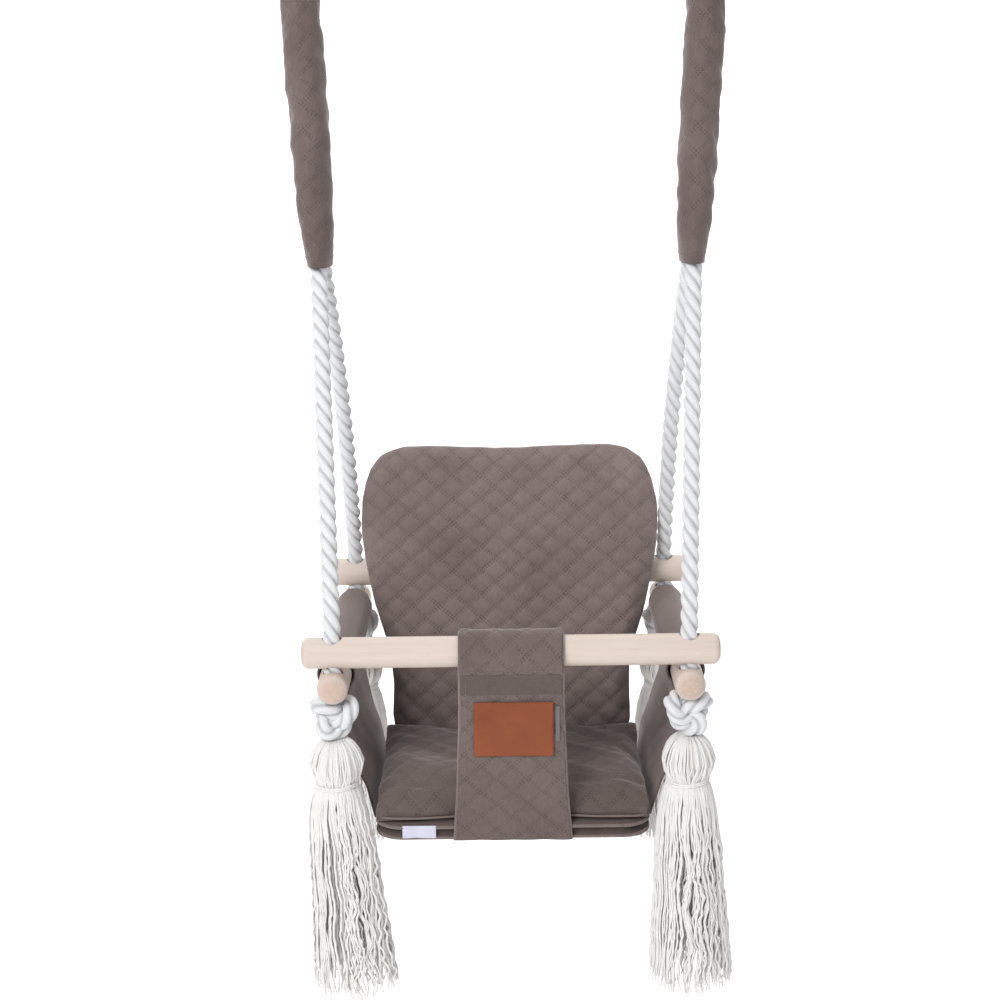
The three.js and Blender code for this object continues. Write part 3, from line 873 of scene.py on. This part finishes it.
# ---- quilting ----
def quilt(u, v):
    """0 on the sewn lines, 1 at the middle of each diamond."""
    a = np.asarray(u) / DIAMOND_W + np.asarray(v) / DIAMOND_H
    b = np.asarray(u) / DIAMOND_W - np.asarray(v) / DIAMOND_H
    return (np.abs(np.sin(math.pi * a)) * np.abs(np.sin(math.pi * b))) ** 0.45


# ---- rope sleeves ----
def apart(z):
    """0 where a rope's two legs run side by side, 1 where they have flared to the bars."""
    return max(0.0, (JOIN_Z - z) / (JOIN_Z - FLARE_Z))


SLEEVE_LOW, SLEEVE_TOP = (corner[2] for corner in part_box("left_rope_sleeve"))
SLEEVE_GIRTH = 0.1273
# half the sleeve's width at heights above its lower end, closing in at the very top
SLEEVE_HEIGHTS = (0, 0.013, 0.030, 0.065, 0.115, 0.262, SLEEVE_TOP - SLEEVE_LOW)
SLEEVE_HALVES = (0.0124, 0.0142, 0.0163, 0.0186, 0.0196, 0.0196, 0.0150)
for side, s in SIDES:
    rows, around = 150, 72
    outer, inner, cloth = [], [], []
    for f in np.linspace(0, 1, rows):
        z = SLEEVE_LOW + (SLEEVE_TOP - SLEEVE_LOW) * f
        middle_x, middle_y = s * rope_x(z), SEAT_Y * apart(z)
        half = float(np.interp(z - SLEEVE_LOW, SLEEVE_HEIGHTS, SLEEVE_HALVES))
        leg_y = LEG_Y + (BAR_SPREAD - LEG_Y) * apart(z)
        deep = leg_y + ROPE_R + 0.0060 + 0.0015 * min(1.0, f * 8)
        for k in range(around):
            a = math.tau * k / around
            c, d = math.cos(a), math.sin(a)
            u = SLEEVE_GIRTH * k / around
            puff = 0.0006 * (float(quilt(u, z)) - 1) * min(1, f * 12, (1 - f) * 12)
            slope = z * 38 + 0.9 * math.sin(a + s) + s
            fold = 0.0019 * noise.noise(Vector((c * 1.1, d * 1.1, slope)))
            fold += 0.0011 * noise.noise(Vector((c * 0.7, d * 0.7, slope * 2.3)))
            grow = 1 + (puff + fold * min(1.0, 0.25 + f * 5)) / 0.018
            outer.append((middle_x + half * c * grow, middle_y + deep * d * grow, z))
            inner.append((middle_x + half * c * 0.80, middle_y + deep * d * 0.86, z))
            cloth.append((u, z, 0))
    sleeve = add_mesh(f"{side}_quilted_sleeve", outer + inner, pipe_faces(rows, around), quilt_cloth)
    vector_attribute(sleeve, "cloth", cloth + cloth)
    outward(sleeve)
    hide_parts(f"{side}_rope_sleeve")
    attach(sleeve, "seat")
    hems = [[outer[i * around + k] for k in [*range(around), 0]] for i in (5, rows - 6)]
    stitches(f"{side}_sleeve_hem", sleeve, hems)


# ---- back cushion ----
back = soft_pad("quilted_back", "back_cushion", back_cloth, fit=(0, 2), rounds=3)
co, no = coords(back), normals(back)
facing = no @ np.array([0, -math.cos(BACK_LEAN), math.sin(BACK_LEAN)])
up = np.array([0, math.sin(BACK_LEAN), math.cos(BACK_LEAN)])
u, v = co[:, 0], (co - np.array([0, REAR_Y, BAR_Z])) @ up
broad = ease(np.abs(facing), 0.25, 0.75)
puff = (quilt(u, v) - 1) * 0.0026 * broad
slanted = np.column_stack([u * 13 - v * 13, (u + v) * 46, co[:, 1] * 10])
wave = ripple(co, 14, 0.0017, 3.0) + ripple(slanted, 1.0, 0.0018, 7.0)
set_coords(back, co + no * (puff + wave * (0.4 + 0.6 * broad))[:, None])
vector_attribute(back, "cloth", np.column_stack([u, v, np.zeros(len(u))]))
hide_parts("back_cushion")
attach(back, "seat")

# ---- tunnel on the rear bar ----
rows, around = 90, 48
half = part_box("rear_bar_tunnel")[1][0]
verts = []
for r, wrinkle in ((BAR_R + 0.0026, 0.0011), (BAR_R + 0.0008, 0.0)):
    for x in np.linspace(-half, half, rows):
        for k in range(around):
            y, z = math.cos(math.tau * k / around), math.sin(math.tau * k / around)
            reach = r + wrinkle * noise.noise(Vector((x * 60, y * 1.5, z * 1.5)))
            verts.append((x, REAR_Y + reach * y, BAR_Z + reach * z))
tunnel = outward(add_mesh("rear_tunnel_cloth", verts, pipe_faces(rows, around), plain_cloth))
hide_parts("rear_bar_tunnel")
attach(tunnel, "seat")

# ---- seat cushion ----
seat = soft_pad("seat_pad", "seat_cushion", seat_cloth, fit=(0, 1), rounds=2)
co = coords(seat)
low, high = (np.array(c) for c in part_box("seat_cushion"))
mid, half = ((low + high) / 2)[:2], ((high - low) / 2)[:2]
# fill the corners out
share = (co[:, :2] - mid) / half
full = 1 + 0.16 * np.abs(share[:, 0] * share[:, 1]) ** 3
co[:, :2] = mid + np.clip(share * full[:, None], -1, 1) * half
set_coords(seat, co)
# folds, faint quilting and one crease along the front
no = normals(seat)
top = np.clip(no[:, 2], 0, 1)
x, y, z = co.T
slant = np.column_stack([x * 13 + y * 9, y * 27 + x * 17, z * 10])
lift = (ripple(slant, 1.0, 0.0052, 11) + ripple(slant, 2.4, 0.0024, 5)) * (0.30 + 0.70 * top)
lift += (quilt(x, y) - 1) * 0.0013 * ease(top, 0.3, 0.8)
lift -= 0.0030 * np.exp(-(((y - (SEAT_Y - 0.110 + 0.03 * x)) / 0.006) ** 2)) * top
co = co + no * lift[:, None]
# the right front corner stands up, and the whole pad thins towards the front
x, y, z = co.T
lifted = ease(x, 0.07, 0.13) * ease(SEAT_Y - y, 0.07, 0.13)
vector_attribute(seat, "cloth", np.column_stack([x, y, np.zeros(len(co))]))
front = ease(low[1] + 0.075 - y, 0, 0.075)
above = (z + 0.004 * lifted**2 - BASE_TOP) * (1 - 0.58 * front**2.2)
co[:, 2] = BASE_TOP + np.maximum(above, 0.0008)
set_coords(seat, co)
# its seam, laid on the pad just above the base
seam_z = BASE_TOP + 0.0055
off = co[:, :2] - mid
edge = []
for a in np.arange(120) * math.tau / 120:
    out, aside = np.array([math.cos(a), math.sin(a)]), np.array([-math.sin(a), math.cos(a)])
    near = (np.abs(co[:, 2] - seam_z) < 0.004) & (np.abs(off @ aside) < 0.005) & (off @ out > 0)
    far = (off @ out)[near].max()
    edge.append([*(mid + out * (far - 0.0002)), seam_z + 0.4 * (co[near, 2] - seam_z).mean()])
edge = np.array(edge)
for _ in range(2):
    edge = (np.roll(edge, 1, 0) + 2 * edge + np.roll(edge, -1, 0)) / 4
seam_loop = resample(np.vstack([edge, edge[:1]]), 0.004)[0]
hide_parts("seat_cushion")
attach(seat, "seat")
seam = tubes("seat_pad_seam", [(seam_loop, [0.0011] * len(seam_loop))], piping_cloth, 8)
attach(seam, "seat")


# ---- seat base: a covered board with piping round its edges ----
def rounded_outline(half, front, back, r_front, r_back):
    """A rectangle with round corners, as points 4 mm apart."""
    line = []
    for cx, cy, r, start in (
        (half - r_front, front + r_front, r_front, -90),
        (half - r_back, back - r_back, r_back, 0),
        (r_back - half, back - r_back, r_back, 90),
        (r_front - half, front + r_front, r_front, 180),
    ):
        for a in np.radians(start + np.linspace(0, 90, 15)):
            line.append((cx + r * math.cos(a), cy + r * math.sin(a), 0.0))
    return resample([*line, line[0]], 0.004)[0][:-1, :2]


outline = rounded_outline(BASE_HALF, BASE_FRONT, BASE_BACK, 0.026, 0.012)
mid = np.array([0.0, (BASE_FRONT + BASE_BACK) / 2])
# the edge from the top face down, hollow between the pipings, as shares of outline and height
upper = [(0.80, 1.0), (0.955, 1.0), (0.990, 0.90), (0.990, 0.62), (0.955, 0.40)]
rings = upper + [(0.945, 0.0)] + [(scale, -level) for scale, level in reversed(upper)]
zc, zh = (BASE_LOW + BASE_TOP) / 2, (BASE_TOP - BASE_LOW) / 2
verts = []
for scale, level in rings:
    for px, py in outline:
        p = mid + (np.array([px, py]) - mid) * scale
        bow = 0.0007 * noise.noise(Vector((p[0] * 40, p[1] * 40, level * 2)))
        verts.append((p[0], p[1], zc + zh * level + bow))
n = len(outline)
faces = grid_faces(len(rings), n, wrap_cols=True) + cap_faces(len(rings), n)
base = outward(add_mesh("covered_base", verts, faces, plain_cloth))
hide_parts("seat_base")
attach(base, "seat")
for name, level in (("base_top_piping", 0.72), ("base_low_piping", -0.72)):
    loop = np.column_stack([mid + (outline - mid) * 0.996, np.full(n, zc + zh * level)])
    loop = np.vstack([loop, loop[:1]])
    pipe = tubes(name, [(loop, [0.0016] * len(loop))], piping_cloth, 8)
    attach(pipe, "seat")


# ---- side panels: cloth round each side bar, sewn, and sloping down to the base ----
# rows from the base up to the casing: height, place across, front and back end from SEAT_Y
SHEET_ROWS = (
    (BASE_LOW + 0.001, BASE_HALF + 0.0036, -0.097, 0.083),
    (SIDE_Z - 0.125, HOLE_X - 0.0256, -0.097, 0.093),
    (SIDE_Z - 0.102, HOLE_X - 0.0161, -0.099, 0.099),
    (SIDE_Z - 0.070, HOLE_X - 0.0055, -0.103, 0.103),
    (SIDE_Z - 0.044, HOLE_X - 0.0047, -0.109, 0.109),
    (SIDE_Z - CASING_R + 0.001, HOLE_X - 0.0065, -0.112, 0.114),
)
SHEET_Z, *SHEET_PLACES = zip(*SHEET_ROWS)
SHEET_TOP, SHEET_TOP_X, CASING_FRONT, CASING_BACK = SHEET_ROWS[-1]
SEAM_TURN = math.radians(150)


def casing_y(f, inset=0.0):
    """The place at share f along the casing, which may stop short of both its ends."""
    return SEAT_Y + CASING_FRONT + inset + (CASING_BACK - CASING_FRONT - 2 * inset) * f


for side, s in SIDES:

    def section(f):
        """The cloth at one place along the bar: up the slope, round the bar and down to the hem."""
        points = []
        for z in np.linspace(SHEET_Z[0], SHEET_TOP, 40):
            x, front, back = (float(np.interp(z, SHEET_Z, row)) for row in SHEET_PLACES)
            low = float(ease(SHEET_TOP - z, 0, 0.13))
            sag = 0.004 * math.sin(math.pi * low) * math.sin(math.pi * f)
            points.append((s * (x + sag), SEAT_Y + front + (back - front) * f, z))
        join = math.pi - math.asin((SHEET_TOP - SIDE_Z) / CASING_R)
        for a in join + np.arange(1, 41) * math.tau / 41:
            reach = 0.009 * max(0.0, math.sin(a)) * f**6
            x, z = HOLE_X + CASING_R * math.cos(a), SIDE_Z + CASING_R * math.sin(a)
            points.append((s * x, casing_y(f) + reach, z))
        for g in np.linspace(0, 1, 12):
            x, z = SHEET_TOP_X - 0.0030 - 0.0008 * g, SHEET_TOP - 0.001 - 0.020 * g
            points.append((s * x, casing_y(f, 0.001), z))
        return points

    stations = np.linspace(0, 1, 60)
    sections = [section(f) for f in stations]
    cols = len(sections[0])
    verts = [point for points in sections for point in points]
    panel = add_mesh(f"{side}_panel_cloth", verts, grid_faces(len(stations), cols), side_cloth)
    outward(panel)
    co, no = coords(panel), normals(panel)
    x, y, z = co.T
    still = np.full(len(co), 1.0 * s)
    slope = ease(SIDE_Z - z, 0.02, 0.07) * ease(z - BASE_LOW, 0, 0.03)
    folds = 0.0052 * noise_at(np.column_stack([y * 13 + z * 6, z * 8, still * 3]))
    folds += 0.0017 * noise_at(np.column_stack([y * 34 + z * 20, z * 16, still * 5]))
    pleats = noise_at(np.column_stack([y * 10 + s * 7, (x - s * HOLE_X) * 110, z * 60]))
    turn = np.arctan2(z - SIDE_Z, s * x - HOLE_X)
    groove = 0.0016 * np.exp(-(((turn - SEAM_TURN) / 0.09) ** 2))
    casing = ease(z - SIDE_Z, -0.016, -0.006)
    off = folds * slope + (0.0008 * (1 + pleats) - groove) * casing
    set_coords(panel, co + no * off[:, None])
    modify(panel, "SOLIDIFY", thickness=0.0022, offset=0)
    modify(panel, "SUBSURF", levels=1, render_levels=1)
    apply_modifiers(panel)
    shade_smooth(panel)
    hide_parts(f"{side}_side_panel")
    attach(panel, "seat")
    rows = [(SHEET_TOP_X + x, SHEET_TOP - drop) for drop in (0.0040, 0.0068) for x in (-0.008, 0.004)]
    rows.append((HOLE_X + CASING_R * math.cos(SEAM_TURN), SIDE_Z + CASING_R * math.sin(SEAM_TURN)))
    seams = [[(s * x, casing_y(0, 0.004), z), (s * x, casing_y(1, 0.004), z)] for x, z in rows]
    seams += [section(f)[2:38] for f in (0.022, 0.978)]
    stitches(f"{side}_panel_stitches", panel, seams)

# ---- crotch strap: up from the base, round the front bar and down behind itself ----
LOOP_R = BAR_R + 0.0036
FLAT_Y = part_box("leather_patch")[1][1] + 0.0030
BEND_Z = BAR_Z - 0.040
HEM_Z, LAYER_Z = BAR_Z - 0.0175, BAR_Z - 0.0405  # the plain band lies between these


def strap_half(z):
    heights = (BASE_LOW, BAR_Z - 0.140, BAR_Z - 0.070, BAR_Z)
    return float(np.interp(z, heights, (0.057, 0.053, 0.050, 0.049)))


line = [(FLAT_Y, z) for z in np.linspace(BASE_LOW + 0.001, BEND_Z, 26)]
for g in np.arange(1, 9) / 9:
    line.append((FLAT_Y + (FRONT_Y - LOOP_R - FLAT_Y) * g * g * (3 - 2 * g), BEND_Z + 0.040 * g))
for a in math.pi - math.radians(285) * np.linspace(0, 1, 33):
    line.append((FRONT_Y + LOOP_R * math.cos(a), BAR_Z + LOOP_R * math.sin(a)))
end_y, end_z = line[-1]
for g in np.arange(1, 8) / 7:
    line.append((end_y + (FLAT_Y + 0.004 - end_y) * g, end_z - 0.026 * g))
line = np.array(line)
length = distance_along(line)
dense = np.linspace(0, length[-1], 300)
ys, zs = np.interp(dense, length, line[:, 0]), np.interp(dense, length, line[:, 1])
halves = [strap_half(z) for z in zs]
cols = 61
verts, cloth = [], []
for y, z, half, along in zip(ys, zs, halves, dense):
    for x in np.linspace(-half, half, cols):
        verts.append((x, y, z))
        cloth.append((x, along, 0))
strap = add_mesh("quilted_strap", verts, grid_faces(len(dense), cols), quilt_cloth)
co, no, cloth = coords(strap), normals(strap), np.array(cloth)
if no[cols * 10 + cols // 2][1] > 0:
    no = -no
outside = cloth[:, 1] < 0.235
# this band gets painted shade in the quilted cloth, for the recess under the hem
band = (co[:, 2] > LAYER_Z) & (co[:, 2] < HEM_Z) & (co[:, 1] < FRONT_Y - 0.006) & outside
cloth[:, 2] = band
vector_attribute(strap, "cloth", cloth)
lift = (quilt(cloth[:, 0], cloth[:, 1]) - 1) * 0.0013 * ~band
lift += ripple(co, 60, 0.0011, 9.0, (0.7, 1, 1.4)) * band
lift += ripple(co, 30, 0.0010, 21.0, (1, 1, 0.6)) + ripple(co, 80, 0.0004, 4.0)
lift += 0.0016 * ease(co[:, 2] - HEM_Z, 0, 0.0008) * outside
lift += 0.0009 * ease(LAYER_Z - co[:, 2], 0, 0.0008) * outside
set_coords(strap, co + no * lift[:, None])
modify(strap, "SOLIDIFY", thickness=0.0030, offset=0)
apply_modifiers(strap)
outward(strap)
shade_smooth(strap)
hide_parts("crotch_strap")
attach(strap, "seat")
rows = [
    [(x, FRONT_Y - LOOP_R, z) for x in np.linspace(-0.044, 0.044, 40)]
    for z in (HEM_Z + 0.0026, LAYER_Z - 0.0026)
]
for _, s in SIDES:
    heights = np.linspace(BASE_LOW + 0.004, HEM_Z, 60)
    rows.append([(s * (strap_half(z) - 0.0055), FLAT_Y - 0.002, z) for z in heights])
stitches("strap_stitches", strap, rows)
edges = []
for _, s in SIDES:
    edge = np.column_stack([s * np.array(halves), ys, zs])[::2]
    edges.append((edge, [0.0017] * len(edge)))
pipe = tubes("strap_piping", edges, piping_cloth, 8)
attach(pipe, "seat")


# ---- leather patch, tape and label ----
def card(name, node, material, bow):
    """A thin plate with softened edges, bowed a little."""
    low, high = (np.array(c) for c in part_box(node))
    nx, nz = 40, 30
    n = nx * nz
    verts = []
    for front in (True, False):
        for fz in np.linspace(0, 1, nz):
            for fx in np.linspace(0, 1, nx):
                rim = min(min(fx, 1 - fx) * (high[0] - low[0]), min(fz, 1 - fz) * (high[2] - low[2]))
                y = low[1] + 0.0004 * max(0.0, 1 - rim / 0.0012) if front else high[1]
                y += bow * noise.noise(Vector((fx * 2.4, fz * 2.0, 1.7)))
                verts.append((low[0] + (high[0] - low[0]) * fx, y, low[2] + (high[2] - low[2]) * fz))
    faces = grid_faces(nz, nx) + [tuple(reversed(q)) for q in grid_faces(nz, nx, start=n)]
    spots = np.arange(n).reshape(nz, nx)
    rim = [*spots[0], *spots[1:, -1], *spots[-1, -2::-1], *spots[-2:0:-1, 0]]
    rim = [int(i) for i in rim]
    for a, b in zip(rim, rim[1:] + rim[:1]):
        faces.append((b, a, n + a, n + b))
    obj = outward(add_mesh(name, verts, faces, material))
    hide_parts(node)
    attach(obj, "seat")
    return obj


label = label_material("label_weave", (0.62, 0.62, 0.74))
tape = label_material("tape_weave", (0.17, 0.150, 0.150))
card("leather_badge", "leather_patch", leather, 0.0006)
card("edge_label", "side_label", label, 0.0006)
card("strap_tape", "closure_tape", tape, 0.0002)

# ---- floor, light ----
FLOOR_Z = cad_box[0][2] - 0.22
FLOOR_BEND = 1.6
rows = [(y, FLOOR_Z) for y in np.linspace(-5, 2, 6)]
for a in np.radians(np.arange(5, 91, 5)):
    rows.append((2 + FLOOR_BEND * math.sin(a), FLOOR_Z + FLOOR_BEND * (1 - math.cos(a))))
rows.append((2 + FLOOR_BEND, 6))
verts = [(x, y, z) for y, z in rows for x in (-7, 7)]
m = Nodes("studio_white", (0.93, 0.93, 0.93), 0.9, Emission_Strength=0.26)
m.shader.inputs["Emission Color"].default_value = (1, 1, 1, 1)
paper = m.noise(m.place(), 30, 3)
studio = m.finish(m.mix(m.ramp(paper, 0.3, 0.7), (0.925, 0.925, 0.925), (0.94, 0.94, 0.94)))
add_mesh("studio_floor", verts, grid_faces(len(rows), 2), studio)

world = bpy.data.worlds.new("studio")
world.use_nodes = True
background = world.node_tree.nodes["Background"]
background.inputs["Color"].default_value = (1, 1, 1, 1)
background.inputs["Strength"].default_value = 0.36
bpy.context.scene.world = world


def softbox(name, place, aim, size, power):
    data = bpy.data.lights.new(name, "AREA")
    set_all(data, shape="RECTANGLE", size=size[0], size_y=size[1], energy=power)
    lamp = new_object(name, data)
    lamp.location = place
    lamp.rotation_euler = (Vector(aim) - Vector(place)).to_track_quat("-Z", "Y").to_euler()


aim = (0, SEAT_Y, -0.6)
softbox("key", (-1.0, -2.1, 0.85), aim, (1.2, 1.2), 54)
softbox("fill", (1.6, -2.2, 0.6), aim, (1.6, 1.6), 5)
softbox("top", (0.2, -0.2, 1.5), aim, (1.4, 1.4), 6)
softbox("backdrop", (0, 1.6, 2.2), (0, 3.2, 0.2), (4, 2), 90)

bpy.context.scene.view_settings.view_transform = "Standard"
bpy.context.scene.view_settings.look = "None"
